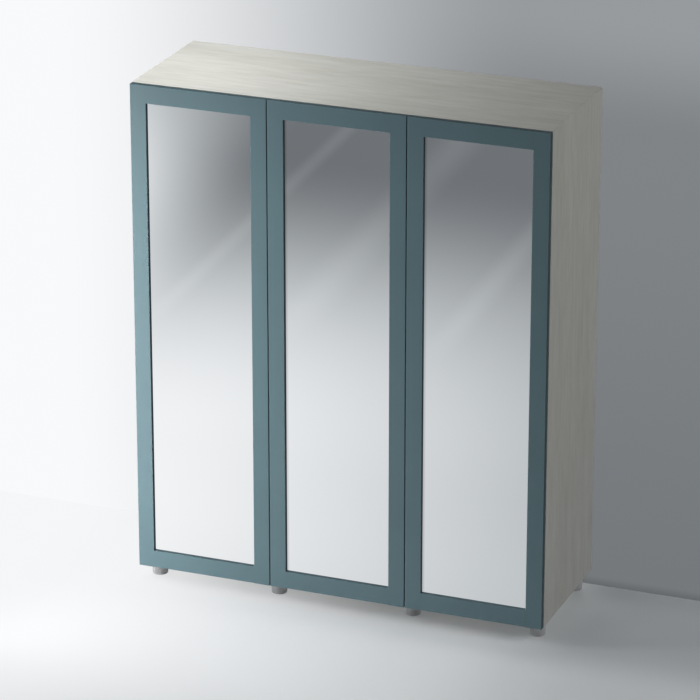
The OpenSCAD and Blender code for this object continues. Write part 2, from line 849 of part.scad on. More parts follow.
side_left();
side_right();
partition_left();
partition_right();
top_panel();
bottom_panel();
back_panels();
hat_shelves();
shelves();
shelf_pins();
clothes_rails();
rail_sockets();
dowels();
foot_plates();
feet();
foot_spindles();
hinge_plates();
hinge_arms();
arm_pins();
door_buffers();
hinge_stile(1);  // door_1_hinge_stile
free_stile(1);  // door_1_free_stile
top_rail(1);  // door_1_top_rail
bottom_rail(1);  // door_1_bottom_rail
mirror_glass(1);  // door_1_mirror
mirror_tape(1);  // door_1_mirror_tape
backing(1);  // door_1_backing
hinge_cups(1);  // door_1_hinge_cups
cup_pins(1);  // door_1_cup_pins
hinge_stile(2);  // door_2_hinge_stile
free_stile(2);  // door_2_free_stile
top_rail(2);  // door_2_top_rail
bottom_rail(2);  // door_2_bottom_rail
mirror_glass(2);  // door_2_mirror
mirror_tape(2);  // door_2_mirror_tape
backing(2);  // door_2_backing
hinge_cups(2);  // door_2_hinge_cups
cup_pins(2);  // door_2_cup_pins
hinge_stile(3);  // door_3_hinge_stile
free_stile(3);  // door_3_free_stile
top_rail(3);  // door_3_top_rail
bottom_rail(3);  // door_3_bottom_rail
mirror_glass(3);  // door_3_mirror
mirror_tape(3);  // door_3_mirror_tape
backing(3);  // door_3_backing
hinge_cups(3);  // door_3_hinge_cups
cup_pins(3);  // door_3_cup_pins
outer_links(1);  // outer_links_1
outer_links(2);  // outer_links_2
outer_links(3);  // outer_links_3
inner_links(1);  // inner_links_1
inner_links(2);  // inner_links_2
inner_links(3);  // inner_links_3
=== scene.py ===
"""Finishes and fittings of a three-door wardrobe with framed mirror doors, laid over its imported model.

Everything is in metres: +X to the viewer's right, +Y from the doors to the back, +Z up, floor at zero.
"""

import math

import bpy
import numpy as np
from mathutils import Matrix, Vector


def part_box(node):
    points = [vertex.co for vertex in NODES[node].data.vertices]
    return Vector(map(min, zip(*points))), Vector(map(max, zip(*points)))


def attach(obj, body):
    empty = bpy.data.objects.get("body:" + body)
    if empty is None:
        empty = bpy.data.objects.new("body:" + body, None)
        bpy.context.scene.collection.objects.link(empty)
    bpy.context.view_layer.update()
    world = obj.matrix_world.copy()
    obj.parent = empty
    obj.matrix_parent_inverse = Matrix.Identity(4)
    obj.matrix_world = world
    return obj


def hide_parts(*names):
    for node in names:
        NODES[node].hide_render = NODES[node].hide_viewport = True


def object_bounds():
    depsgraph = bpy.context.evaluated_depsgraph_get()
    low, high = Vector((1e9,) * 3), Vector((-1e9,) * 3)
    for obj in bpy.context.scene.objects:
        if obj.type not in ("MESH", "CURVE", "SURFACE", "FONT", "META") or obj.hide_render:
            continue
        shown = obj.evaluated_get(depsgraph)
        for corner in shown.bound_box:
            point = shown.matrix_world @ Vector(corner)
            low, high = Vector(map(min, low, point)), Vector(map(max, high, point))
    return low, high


bl_info = {
    "name": "Mirror Door Wardrobe",
    "version": (1, 0, 0),
    "blender": (4, 5, 0),
    "location": "3D View > Sidebar > Wardrobe",
    "description": "Finishes, screws, feet and studio for a wardrobe with framed mirror doors",
    "category": "Add Mesh",
}

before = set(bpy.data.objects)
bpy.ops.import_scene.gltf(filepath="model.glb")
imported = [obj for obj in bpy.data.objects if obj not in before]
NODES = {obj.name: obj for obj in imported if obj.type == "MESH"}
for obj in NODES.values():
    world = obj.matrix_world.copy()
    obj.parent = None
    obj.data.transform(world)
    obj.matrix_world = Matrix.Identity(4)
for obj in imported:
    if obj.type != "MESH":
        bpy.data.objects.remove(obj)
CAD_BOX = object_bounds()
DOORS = (1, 2, 3)

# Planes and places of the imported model
DOOR_BOX = {n: (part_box(f"door_{n}_hinge_stile"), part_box(f"door_{n}_free_stile")) for n in DOORS}
FACE_Y = DOOR_BOX[1][0][0].y
DOOR_BACK_Y = DOOR_BOX[1][0][1].y
CASE_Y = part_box("side_left")[0].y
DOOR_LOW, DOOR_HIGH = DOOR_BOX[1][0][0].z, DOOR_BOX[1][0][1].z
DOOR_LEFT = {n: min(b[0].x for b in DOOR_BOX[n]) for n in DOORS}
DOOR_RIGHT = {n: max(b[1].x for b in DOOR_BOX[n]) for n in DOORS}
BACKING_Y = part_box("door_1_backing")[1].y
STILE = DOOR_BOX[1][0][1].x - DOOR_BOX[1][0][0].x
SIGHT_LOW, SIGHT_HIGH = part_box("door_1_bottom_rail")[1].z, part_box("door_1_top_rail")[0].z
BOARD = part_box("hat_shelves")[1].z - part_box("hat_shelves")[0].z
PARTITION_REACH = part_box("side_right")[0].x
PARTITIONS = [(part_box(n)[0].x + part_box(n)[1].x) / 2 for n in ("partition_left", "partition_right")]

# Hinges
HINGE_COUNT = 4
HINGE_END = 0.100  # from a door's end to its first hinge
CUP_IN = 0.0205  # from the door's hinge edge to the cup's middle
WING_T = 0.0012  # thickness of the cup's wings
WING_SCREW = 0.024  # from the cup's middle up or down to a wing's screw
PLATE_T = 0.003  # thickness of a mounting plate
PLATE_SET = 0.037  # from the carcass front to the plate's screws
PLATE_PITCH = 0.032  # between the plate's two screws
ARM_H = 0.011  # from the plate to the arm's face
ARM_SCREW = 0.062  # from the carcass front to the arm's screw

# Feet, whose middles lie at every FOOT_X and FOOT_Y
FOOT_X = (-0.848, -0.300, 0.300, 0.848)
FOOT_Y = (-0.221, 0.262)
FOOT_PLATE_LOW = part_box("foot_plates")[0].z
FOOT_SCREW = 0.029  # from the foot's middle to a screw, along X and along Y

# Radius and lengths of the screws' shanks
SHANK = 0.0018
WING_SHANK, PLATE_SHANK, ARM_SHANK, FOOT_SHANK = 0.006, 0.008, 0.006, 0.0025

# Where the x, y and z of a piece made along Z go when it is turned
UPRIGHT = ((1, 0, 0), (0, 1, 0), (0, 0, 1))
DOWN = ((1, 0, 0), (0, -1, 0), (0, 0, -1))
TO_BACK = ((1, 0, 0), (0, 0, -1), (0, 1, 0))
TO_FRONT = ((1, 0, 0), (0, 0, 1), (0, -1, 0))
TO_SIDE = {1: ((0, 1, 0), (0, 0, 1), (1, 0, 0)), -1: ((0, 1, 0), (0, 0, -1), (-1, 0, 0))}

# Lamps, whose watts are in WardrobeStage: name, place, target, width and height, tint
WHITE, WARM = (1.0, 1.0, 1.0), (1.0, 0.985, 0.955)
LAMPS = (
    ("key", (-1.40, -1.00, 1.10), (-0.30, FACE_Y, 1.10), (0.5, 2.1), WHITE),
    ("overhead", (-0.85, -0.07, 3.20), (-0.45, -0.07, 2.20), (0.6, 0.8), WHITE),
    ("slanting", (-2.0, FACE_Y + 0.08, 5.0), (0.5, FACE_Y, 0.5), (0.25, 0.25), WHITE),
    ("front", (-0.8, -2.5, 3.0), (-0.1, FACE_Y, 0.5), (1.0, 1.0), WHITE),
    ("right", (4.5, -0.42, 2.9), (0.9, 0.0, 1.1), (0.8, 1.6), WARM),
    ("left", (-4.2, 1.2, 1.2), (-0.9, 0.0, 1.1), (2.0, 1.6), WHITE),
    ("behind", (0.0, 2.9, 1.2), (0.0, 0.325, 1.1), (2.4, 1.8), WHITE),
)


# Properties


def colour(name, description, value):
    return bpy.props.FloatVectorProperty(
        name=name, description=description, subtype="COLOR", size=3, min=0, max=1, default=value)


def length(name, description, value, low, high):
    return bpy.props.FloatProperty(
        name=name, description=description, default=value, min=low, max=high, precision=4,
        subtype="DISTANCE", unit="LENGTH")


def share(name, description, value):
    return bpy.props.FloatProperty(
        name=name, description=description, default=value, min=0, max=1, subtype="FACTOR")


def level(name, description, value):
    return bpy.props.FloatProperty(name=name, description=description, default=value, min=0, max=2000)


class WardrobeFinish(bpy.types.PropertyGroup):
    """Colours and sheen of the wardrobe's finishes"""

    oak_light: colour("Oak, light", "Light streaks of the oak veneer", (0.545, 0.544, 0.506))
    oak_middle: colour("Oak, middle", "Main tone of the oak veneer", (0.500, 0.498, 0.459))
    oak_dark: colour("Oak, dark", "Dark streaks of the oak veneer", (0.442, 0.437, 0.396))
    paint: colour("Door paint", "Lacquer of the door frames", (0.157, 0.258, 0.292))
    edge_shade: share("Edge shade", "Tone of the doors' dark edges against that of their faces", 0.27)
    paint_sheen: share("Paint roughness", "Roughness of the satin lacquer", 0.42)
    silver: colour("Mirror", "Tint of the silvered glass", (0.950, 0.958, 0.960))
    steel: colour("Nickel", "Nickel-plated hinges and rails", (0.700, 0.700, 0.690))
    zinc: colour("Zinc", "Zinc-plated plates and links", (0.560, 0.570, 0.585))
    foot: colour("Feet", "Satin grey of the feet", (0.560, 0.565, 0.575))
    fibreboard: colour("Backing", "Fibreboard behind the mirrors", (0.330, 0.240, 0.150))
    beech: colour("Beech", "Dowels", (0.620, 0.430, 0.240))


class WardrobeFittings(bpy.types.PropertyGroup):
    """Sizes of the small fittings"""

    screw_head: length("Screw head", "Radius of a screw head", 0.0036, 0.001, 0.01)
    screw_rise: length("Screw rise", "Height of a screw head", 0.0014, 0.0002, 0.005)
    foot_radius: length("Foot radius", "Radius of a foot", 0.0335, 0.01, 0.1)
    foot_edge: length("Foot edge", "Rounding of a foot's lower edge", 0.0042, 0.001, 0.01)
    buffer_radius: length("Buffer radius", "Radius of a door buffer", 0.0028, 0.001, 0.01)
    clip_length: length("Clip length", "Length of a backing clip", 0.0215, 0.01, 0.05)
    clip_width: length("Clip width", "Width of a backing clip", 0.0090, 0.004, 0.02)


class WardrobeStage(bpy.types.PropertyGroup):
    """Light, floor, wall and camera"""

    key: level("Left strip", "Watts of the tall soft light before the left end", 22.0)
    overhead: level("Overhead", "Watts of the light above the left end", 15.0)
    slanting: level("Slanting", "Watts of the high light in line with the doors, for the floor shadow", 14.0)
    front: level("Front", "Watts of the weak light in front", 6.4)
    right: level("Right", "Watts of the light on the right end", 41.5)
    left: level("Left", "Watts of the light on the left end", 44.0)
    behind: level("Behind", "Watts of the light on the back", 32.0)
    inside: level("Inside", "Watts of the soft light in the front of each bay, seen when a door is open", 2.5)
    ambient: level("Ambient", "Strength of the light from all round", 0.065)
    surround: colour("Surround", "What the camera and the metal see beyond the floor", (0.62, 0.64, 0.66))
    lens: bpy.props.FloatProperty(
        name="Lens", description="Focal length on a 36 mm sensor", default=205.66, min=10, max=500,
        subtype="DISTANCE_CAMERA", unit="CAMERA")


# Meshes

CREASE = math.radians(35)  # faces that meet at more than this are shaded with an edge between them


def build(name, parts, material, body):
    """One mesh object from parts, each (points, faces) with faces as rows of 3 or 4 point numbers. The object
    stays at the origin: its place is in its points."""
    points, loops, totals, base = [], [], [], 0
    for verts, faces in parts:
        points.append(verts)
        for rows in faces:
            loops.append((rows + base).ravel())
            totals.append(np.full(len(rows), rows.shape[1]))
        base += len(verts)
    points, loops, totals = np.vstack(points), np.concatenate(loops), np.concatenate(totals)
    mesh = bpy.data.meshes.new(name)
    mesh.vertices.add(len(points))
    mesh.vertices.foreach_set("co", points.astype(np.float32).ravel())
    mesh.loops.add(len(loops))
    mesh.loops.foreach_set("vertex_index", loops.astype(np.int32))
    mesh.polygons.add(len(totals))
    mesh.polygons.foreach_set("loop_start", (np.cumsum(totals) - totals).astype(np.int32))
    mesh.polygons.foreach_set("loop_total", totals.astype(np.int32))
    mesh.update(calc_edges=True)
    mesh.validate()
    mesh.polygons.foreach_set("use_smooth", np.ones(len(totals), bool))
    mesh.set_sharp_from_angle(angle=CREASE)
    mesh.materials.append(material)
    piece = bpy.data.objects.new(name, mesh)
    bpy.context.scene.collection.objects.link(piece)
    if body:
        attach(piece, body)
    return piece


def grid_faces(rows, columns):
    """Quads of a grid of rows by columns of points, which closes on itself along its columns."""
    i = np.arange(rows - 1)[:, None]
    j = np.arange(columns)[None, :]
    k = (j + 1) % columns
    corners = (i * columns + j, i * columns + k, (i + 1) * columns + k, (i + 1) * columns + j)
    return np.stack(corners, -1).reshape(-1, 4)


def turned(profile, steps, relief=None):
    """Surface of revolution about Z: a point is (r cos a, r sin a, z) for each (r, z) of the profile and each
    angle a. The profile runs from the axis round the outside to the axis again, and relief(x, y, z), if
    given, is added to every z."""
    profile = np.array(profile, float)
    ring = profile[1:-1]
    angle = np.arange(steps) * 2 * np.pi / steps
    x, y = ring[:, :1] * np.cos(angle), ring[:, :1] * np.sin(angle)
    z = np.repeat(ring[:, 1:], steps, 1)
    poles = np.array([[0, 0, profile[0, 1]], [0, 0, profile[-1, 1]]])
    if relief is not None:
        z = z + relief(x, y, z)
        poles[:, 2] += relief(poles[:, 0], poles[:, 1], poles[:, 2])
    points = np.vstack([np.stack([x, y, z], -1).reshape(-1, 3), poles])
    count = len(ring)
    j = np.arange(steps)
    k = (j + 1) % steps
    low, high = count * steps, count * steps + 1
    bottom = np.stack([np.full(steps, low), k, j], -1)
    top = np.stack([np.full(steps, high), (count - 1) * steps + j, (count - 1) * steps + k], -1)
    return points, [grid_faces(count, steps), bottom, top]


def quarter(centre, radius, start, end, steps):
    """Points of an arc in the profile's plane: centre + radius (cos a, sin a) from start to end degrees."""
    a = np.radians(np.linspace(start, end, steps + 1))
    return (np.array(centre) + radius * np.stack([np.cos(a), np.sin(a)], -1)).tolist()


def carried(profile, path, across):
    """Closed profile carried along a path: a point is path(t) + p across + q normal(t) for each (p, q) of the
    profile, with normal square to the path and to across, and flat ends."""
    profile, path, across = np.array(profile, float), np.array(path, float), np.array(across, float)
    run = np.gradient(path, axis=0)
    run /= np.linalg.norm(run, axis=1)[:, None]
    normal = np.cross(run, across)
    points = path[:, None] + profile[None, :, :1] * across + profile[None, :, 1:] * normal[:, None]
    rows, columns = points.shape[:2]
    points = np.vstack([points.reshape(-1, 3), path[0], path[-1]])
    j = np.arange(columns)
    k = (j + 1) % columns
    first, last = rows * columns, rows * columns + 1
    start = np.stack([np.full(columns, first), k, j], -1)
    stop = np.stack([np.full(columns, last), (rows - 1) * columns + j, (rows - 1) * columns + k], -1)
    return points, [grid_faces(rows, columns), start, stop]


def placed(part, axes, places):
    """Copies of a part, turned so that its x, y and z lie along axes, one at each place."""
    points, faces = part
    points = points @ np.array(axes, float)
    return [(points + np.array(at, float), faces) for at in places]


def screw(head, rise, shank, depth, turn):
    """Screw on Z with its head's bearing at zero. The head's height is
    rim + (rise - rim) (1 - (r / head)^2)^0.5, less a cross slot turned by an angle: two grooves that fade out
    towards their ends."""
    bearing, rim = 0.0, 0.25 * rise
    across = np.linspace(1, 0, 9)[:-1]
    dome = [[head * s, rim + (rise - rim) * math.sqrt(1 - s * s)] for s in across]
    profile = [[0, -depth], [shank, -depth], [shank, bearing], [head, bearing], *dome, [0, rise]]
    slot_w, slot_l, slot_d = 0.26 * head, 0.78 * head, 0.75 * rise
    c, s = math.cos(turn), math.sin(turn)

    def relief(x, y, z):
        u, v = c * x + s * y, c * y - s * x
        groove = np.maximum(np.clip(1.4 - np.abs(u) / slot_w, 0, 1), np.clip(1.4 - np.abs(v) / slot_w, 0, 1))
        fade = np.clip(1.6 * (1 - np.hypot(u, v) / slot_l), 0, 1)
        return np.where(z > rim * 0.99, -slot_d * groove * fade, 0.0)

    return turned(profile, 24, relief)


# Materials


class Recipe:
    """A new material's node tree, with short calls that add a node and return its output."""

    def __init__(self, name):
        self.material = bpy.data.materials.new(name)
        self.material.use_nodes = True
        self.tree = self.material.node_tree
        self.shader = next(n for n in self.tree.nodes if n.type == "BSDF_PRINCIPLED")
        self.place = self.add("ShaderNodeTexCoord").outputs["Object"]

    def add(self, kind, sockets=(), **settings):
        """A node with its sockets linked or set, and its settings."""
        node = self.tree.nodes.new(kind)
        for name, value in settings.items():
            setattr(node, name, value)
        for name, value in dict(sockets).items():
            if isinstance(value, bpy.types.NodeSocket):
                self.tree.links.new(value, node.inputs[name])
            else:
                node.inputs[name].default_value = value
        return node

    def spread(self, scale, shift=(0, 0, 0)):
        """The object's place, stretched and moved."""
        return self.add("ShaderNodeMapping", {
            "Vector": self.place, "Scale": scale, "Location": shift}).outputs["Vector"]

    def axes(self):
        """The object's x, y and z."""
        return self.add("ShaderNodeSeparateXYZ", {"Vector": self.place}).outputs

    def noise(self, vector, scale=1.0, detail=2.0, roughness=0.5):
        """Cloudy noise from 0 to 1, mostly near 0.5."""
        return self.add("ShaderNodeTexNoise", {
            "Vector": vector, "Scale": scale, "Detail": detail, "Roughness": roughness}).outputs["Fac"]

    def maths(self, operation, a, b=0.0):
        """A sum on one or two numbers."""
        return self.add("ShaderNodeMath", {0: a, 1: b}, operation=operation).outputs["Value"]

    def span(self, value, low, high, to_low=0.0, to_high=1.0):
        """Value carried from one range to another, smoothly and held at its ends."""
        return self.add("ShaderNodeMapRange", {
            "Value": value, "From Min": low, "From Max": high, "To Min": to_low, "To Max": to_high},
            interpolation_type="SMOOTHSTEP").outputs["Result"]

    def ramp(self, value, stops):
        """Colours along a value, from stops of (value, colour)."""
        node = self.add("ShaderNodeValToRGB", {"Fac": value})
        entries = node.color_ramp.elements
        while len(entries) < len(stops):
            entries.new(0.5)
        for entry, (at, tone) in zip(entries, stops):
            entry.position = at
            entry.color = (*tone, 1)
        return node.outputs["Color"]

    def mix(self, factor, a, b):
        """A colour or vector between two, whose sockets go by number: the node has others of their names."""
        node = self.add("ShaderNodeMix", data_type="RGBA")
        for index, value in ((0, factor), (6, a), (7, b)):
            if isinstance(value, bpy.types.NodeSocket):
                self.tree.links.new(value, node.inputs[index])
            else:
                node.inputs[index].default_value = value if index == 0 else (*value[:3], 1)
        return node.outputs[2]

    def bump(self, height, strength, distance, **normal):
        """Normal of a surface raised by a height, over its own normal or the one given."""
        return self.add("ShaderNodeBump", {
            "Height": height, "Strength": strength, "Distance": distance, **normal}).outputs["Normal"]

    def surface(self, output):
        """Puts another shader on the material than its first one."""
        end = next(n for n in self.tree.nodes if n.type == "OUTPUT_MATERIAL")
        self.tree.links.new(output, end.inputs["Surface"])

    def finish(self, **sockets):
        """Sets the shader's sockets, whose names are written with _ for a space."""
        for name, value in sockets.items():
            target = self.shader.inputs[name.replace("_", " ")]
            if isinstance(value, bpy.types.NodeSocket):
                self.tree.links.new(value, target)
            elif hasattr(value, "__len__"):
                target.default_value = (*value[:3], 1)
            else:
                target.default_value = value
        return self.material


def scaled(tone, factor):
    """A colour made lighter or darker by a factor."""
    return tuple(min(1.0, c * factor) for c in tone)


def oak_veneer(name, along, shift):
    """Pale oak veneer, with its grain along one axis: soft bands, streaks, fine fibres and short pores. The
    shift gives each board a pattern of its own."""
    finish = bpy.context.scene.wardrobe_finish
    r = Recipe(name)

    def stretched(across, lengthwise):
        return r.spread([lengthwise if axis == along else across for axis in range(3)], shift)

    drift = r.noise(stretched(3.0, 0.8), detail=1.0)
    bands = r.noise(stretched(16.0, 1.5), detail=3.0, roughness=0.55)
    streaks = r.noise(stretched(48.0, 7.5), detail=2.0)
    fibres = r.noise(stretched(230.0, 5.0), detail=3.0, roughness=0.6)
    pores = r.noise(stretched(900.0, 26.0), detail=1.0)
    tone = r.maths("MULTIPLY", drift, 0.11)
    for layer, part in ((bands, 0.34), (streaks, 0.34), (fibres, 0.21)):
        tone = r.maths("ADD", tone, r.maths("MULTIPLY", layer, part))
    wood = r.ramp(tone, [
        (0.37, finish.oak_dark[:]), (0.50, finish.oak_middle[:]), (0.61, finish.oak_light[:])])
    pore = r.span(pores, 0.60, 0.72)
    wood = r.mix(r.maths("MULTIPLY", pore, 0.16), wood, scaled(finish.oak_dark, 0.55))
    height = r.maths("SUBTRACT", r.maths("MULTIPLY", fibres, 0.6), r.maths("MULTIPLY", pore, 0.7))
    return r.finish(
        Base_Color=wood, Roughness=r.span(fibres, 0.3, 0.7, 0.50, 0.62),
        Normal=r.bump(height, 0.12, 0.0003))


def door_lacquer(n):
    """Satin lacquer: a faint drift of tone, and the fine waviness that spraying leaves. The door's edges and
    the steps round the mirror are painted darker than its face, with painted shade on the step left of the
    mirror, which faces away from the light; the step on the right carries a painted highlight and is paler.
    The paint fills the joints between stiles and rails, so they face forward as the rest of the door does."""
    finish = bpy.context.scene.wardrobe_finish
    r = Recipe(f"door {n} lacquer")
    x, y, z = r.axes()
    drift = r.noise(r.place, 3.0, 2.0)
    tone = r.ramp(drift, [(0.3, scaled(finish.paint, 0.97)), (0.7, scaled(finish.paint, 1.03))])
    # Distances out and up from the door's middle: the mirror shows as far as wide and tall, and the door's
    # height ends at end
    middle, wide = (DOOR_LEFT[n] + DOOR_RIGHT[n]) / 2, (DOOR_RIGHT[n] - DOOR_LEFT[n]) / 2 - STILE
    tall, end = (SIGHT_HIGH - SIGHT_LOW) / 2, (DOOR_HIGH - DOOR_LOW) / 2
    out = r.maths("ABSOLUTE", r.maths("SUBTRACT", x, middle))
    up = r.maths("ABSOLUTE", r.maths("SUBTRACT", z, (SIGHT_LOW + SIGHT_HIGH) / 2))
    # Every edge and step, which lie between the door's two faces, less the joints of stiles and rails: these
    # are painted darker than the face
    edge = r.maths(
        "MULTIPLY", r.span(y, FACE_Y + 0.0002, FACE_Y + 0.0016),
        r.span(y, DOOR_BACK_Y - 0.0003, DOOR_BACK_Y - 0.0015))
    side = r.span(r.maths("ABSOLUTE", r.maths("SUBTRACT", out, wide)), 0.004, 0.003)
    within_rail = r.maths("MULTIPLY", r.span(up, tall, tall + 0.001), r.span(up, end - 0.002, end - 0.003))
    joint = r.maths("MULTIPLY", side, within_rail)
    edge = r.maths("MULTIPLY", edge, r.maths("SUBTRACT", 1.0, joint))
    # The step on the right of the mirror gets a painted highlight, paler than the face; the steps over and
    # under the mirror get less of the darker paint than the rest
    right = r.maths("MULTIPLY", side, r.span(x, middle - 0.001, middle + 0.001))
    right = r.maths("MULTIPLY", right, r.span(up, tall + 0.001, tall))
    level_step = r.maths(
        "MULTIPLY", r.span(up, tall + 0.004, tall + 0.003), r.span(out, wide - 0.001, wide - 0.002))
    dark = r.maths("MULTIPLY", edge, r.maths("SUBTRACT", 1.0, right))
    dark = r.maths("MULTIPLY", dark, r.maths("SUBTRACT", 1.0, r.maths("MULTIPLY", level_step, 0.45)))
    # Darker paint on the edges and steps, with painted shade on the step left of the mirror
    tone = r.mix(dark, tone, scaled(finish.paint, finish.edge_shade))
    # Painted highlight on the step right of the mirror
    tone = r.mix(r.maths("MULTIPLY", edge, right), tone, scaled(finish.paint, 1.8))
    ripple = r.noise(r.place, 260.0, 2.0)
    forward = r.add(
        "ShaderNodeVectorTransform", {"Vector": (0, -1, 0)}, vector_type="NORMAL", convert_from="OBJECT",
        convert_to="WORLD").outputs["Vector"]
    facing = r.mix(joint, r.add("ShaderNodeNewGeometry").outputs["Normal"], forward)
    sheen = finish.paint_sheen
    rough = r.span(r.noise(r.place, 40.0, 3.0), 0.3, 0.7, sheen - 0.03, sheen + 0.03)
    return r.finish(
        Base_Color=tone, Roughness=r.maths("ADD", rough, r.maths("MULTIPLY", dark, 0.45)),
        Normal=r.bump(ripple, 0.05, 0.0002, Normal=facing))


def silvered_glass(n):
    """Mirror: a smooth metal face with a trace of haze, and a soft shade along the left side of all but the
    first."""
    finish = bpy.context.scene.wardrobe_finish
    r = Recipe(f"mirror {n}")
    haze = r.span(r.noise(r.place, 5.0, 4.0), 0.35, 0.75, 0.004, 0.012)
    tone = r.ramp(r.noise(r.place, 1.5, 1.0), [(0.3, scaled(finish.silver, 0.99)), (0.7, finish.silver[:])])
    left, depth = DOOR_LEFT[n] + STILE, 0.0 if n == 1 else 0.35
    shade = r.span(r.axes()["X"], left + 0.002, left + 0.016, depth, 0.0)
    tone = r.mix(shade, tone, (0.0, 0.0, 0.0))
    return r.finish(Base_Color=tone, Metallic=1.0, Roughness=haze)


def plated(name, tone, roughness, grain):
    """Plated sheet metal: small crystals of tone and fine rubbing marks."""
    r = Recipe(name)
    crystals = r.add("ShaderNodeTexVoronoi", {"Vector": r.place, "Scale": grain}).outputs["Distance"]
    marks = r.noise(r.spread((2500.0, 2500.0, 90.0)), detail=2.0)
    shade = r.ramp(crystals, [(0.0, scaled(tone, 0.93)), (0.8, scaled(tone, 1.06))])
    return r.finish(
        Base_Color=shade, Metallic=1.0, Roughness=r.span(marks, 0.3, 0.7, roughness - 0.06, roughness + 0.08),
        Normal=r.bump(marks, 0.05, 0.0001))


def moulded(name, tone, roughness):
    """Moulded plastic or rubber with a fine matt texture."""
    r = Recipe(name)
    texture = r.noise(r.place, 1400.0, 2.0)
    cloud = r.noise(r.place, 30.0, 3.0)
    shade = r.ramp(cloud, [(0.3, scaled(tone, 0.96)), (0.7, scaled(tone, 1.04))])
    return r.finish(
        Base_Color=shade, Roughness=r.span(texture, 0.3, 0.7, roughness - 0.05, roughness + 0.06),
        Normal=r.bump(texture, 0.12, 0.0001))


def clear_rubber():
    """Clear soft plastic of the buffers."""
    r = Recipe("clear rubber")
    cloud = r.noise(r.place, 500.0, 2.0)
    shade = r.ramp(cloud, [(0.3, (0.78, 0.79, 0.76)), (0.7, (0.86, 0.87, 0.85))])
    return r.finish(
        Base_Color=shade, Roughness=r.span(cloud, 0.3, 0.7, 0.22, 0.34), Transmission_Weight=0.6, IOR=1.45)


def fibreboard():
    """Pressed fibreboard: a brown ground with pale and dark short fibres."""
    finish = bpy.context.scene.wardrobe_finish
    r = Recipe("fibreboard")
    fleck = r.noise(r.place, 420.0, 4.0, 0.7)
    cloud = r.noise(r.place, 18.0, 3.0)
    tone = r.maths("ADD", r.maths("MULTIPLY", fleck, 0.7), r.maths("MULTIPLY", cloud, 0.3))
    shade = r.ramp(tone, [
        (0.34, scaled(finish.fibreboard, 0.70)), (0.50, finish.fibreboard[:]),
        (0.66, scaled(finish.fibreboard, 1.35))])
    return r.finish(
        Base_Color=shade, Roughness=r.span(fleck, 0.3, 0.7, 0.66, 0.80), Normal=r.bump(fleck, 0.2, 0.0003))


def foam():
    """White foam tape with fine cells."""
    r = Recipe("foam tape")
    cells = r.add("ShaderNodeTexVoronoi", {"Vector": r.place, "Scale": 900.0}).outputs["Distance"]
    shade = r.ramp(cells, [(0.0, (0.66, 0.66, 0.64)), (0.7, (0.86, 0.86, 0.84))])
    return r.finish(
        Base_Color=shade, Roughness=r.span(cells, 0, 1, 0.85, 0.95), Normal=r.bump(cells, 0.4, 0.0002))


def beech_wood():
    """Beech with short dark flecks."""
    finish = bpy.context.scene.wardrobe_finish
    r = Recipe("beech")
    fleck = r.noise(r.spread((60.0, 900.0, 900.0)), detail=2.0)
    shade = r.ramp(fleck, [(0.35, scaled(finish.beech, 0.8)), (0.6, finish.beech[:])])
    return r.finish(Base_Color=shade, Roughness=r.span(fleck, 0.3, 0.7, 0.55, 0.7))


def dress(material, *names):
    """Gives a carried-over node its finish."""
    for name in names:
        for place in NODES[name].material_slots:
            place.material = material


# Operators


class WARDROBE_OT_oak_boards(bpy.types.Operator):
    """Oak veneer on every board, with the grain along the board"""

    bl_idname = "wardrobe.oak_boards"
    bl_label = "Oak Boards"

    def execute(self, context):
        along_x, along_z = 0, 2
        boards = (
            ("side_left", along_z), ("side_right", along_z), ("partition_left", along_z),
            ("partition_right", along_z), ("top_panel", along_x), ("bottom_panel", along_x),
            ("back_panels", along_z), ("hat_shelves", along_x), ("shelves", along_x))
        apart = np.array([3.1, 1.7, 2.3])
        for number, (name, along) in enumerate(boards):
            dress(oak_veneer(f"oak {name}", along, apart * number), name)
        return {"FINISHED"}


class WARDROBE_OT_door_frames(bpy.types.Operator):
    """Satin lacquer on the stiles and rails"""

    bl_idname = "wardrobe.door_frames"
    bl_label = "Door Frames"

    def execute(self, context):
        for n in DOORS:
            lacquer = door_lacquer(n)
            dress(lacquer, *[f"door_{n}_{part}" for part in (
                "hinge_stile", "free_stile", "top_rail", "bottom_rail")])
        return {"FINISHED"}


class WARDROBE_OT_mirrors(bpy.types.Operator):
    """Silvered glass, with its tape and backing"""

    bl_idname = "wardrobe.mirrors"
    bl_label = "Mirrors"

    def execute(self, context):
        tape, board = foam(), fibreboard()
        for n in DOORS:
            dress(silvered_glass(n), f"door_{n}_mirror")
            dress(tape, f"door_{n}_mirror_tape")
            dress(board, f"door_{n}_backing")
        return {"FINISHED"}


class WARDROBE_OT_hinges(bpy.types.Operator):
    """Nickel and zinc on the hinges, rails and shelf pins"""

    bl_idname = "wardrobe.hinges"
    bl_label = "Hinges and Rails"

    def execute(self, context):
        finish = context.scene.wardrobe_finish
        nickel = plated("nickel plate", finish.steel, 0.26, 240.0)
        zinc = plated("zinc plate", finish.zinc, 0.38, 160.0)
        dress(nickel, "hinge_arms", "clothes_rails", "shelf_pins", "foot_spindles")
        dress(zinc, "hinge_plates", "arm_pins", "rail_sockets", "foot_plates")
        dress(beech_wood(), "dowels")
        for n in DOORS:
            dress(nickel, f"outer_links_{n}", f"door_{n}_hinge_cups")
            dress(zinc, f"inner_links_{n}", f"door_{n}_cup_pins")
        return {"FINISHED"}


def hinge_heights():
    """Heights of a door's hinges, evenly spaced between those near its ends."""
    step = (DOOR_HIGH - DOOR_LOW - 2 * HINGE_END) / (HINGE_COUNT - 1)
    return [DOOR_LOW + HINGE_END + i * step for i in range(HINGE_COUNT)]


def hinge_edge(n):
    """X of the door's hinge edge and the direction inward from it."""
    box = DOOR_BOX[n][0]
    left = (box[0].x + box[1].x) / 2 < (DOOR_LEFT[n] + DOOR_RIGHT[n]) / 2
    return (DOOR_LEFT[n], 1) if left else (DOOR_RIGHT[n], -1)


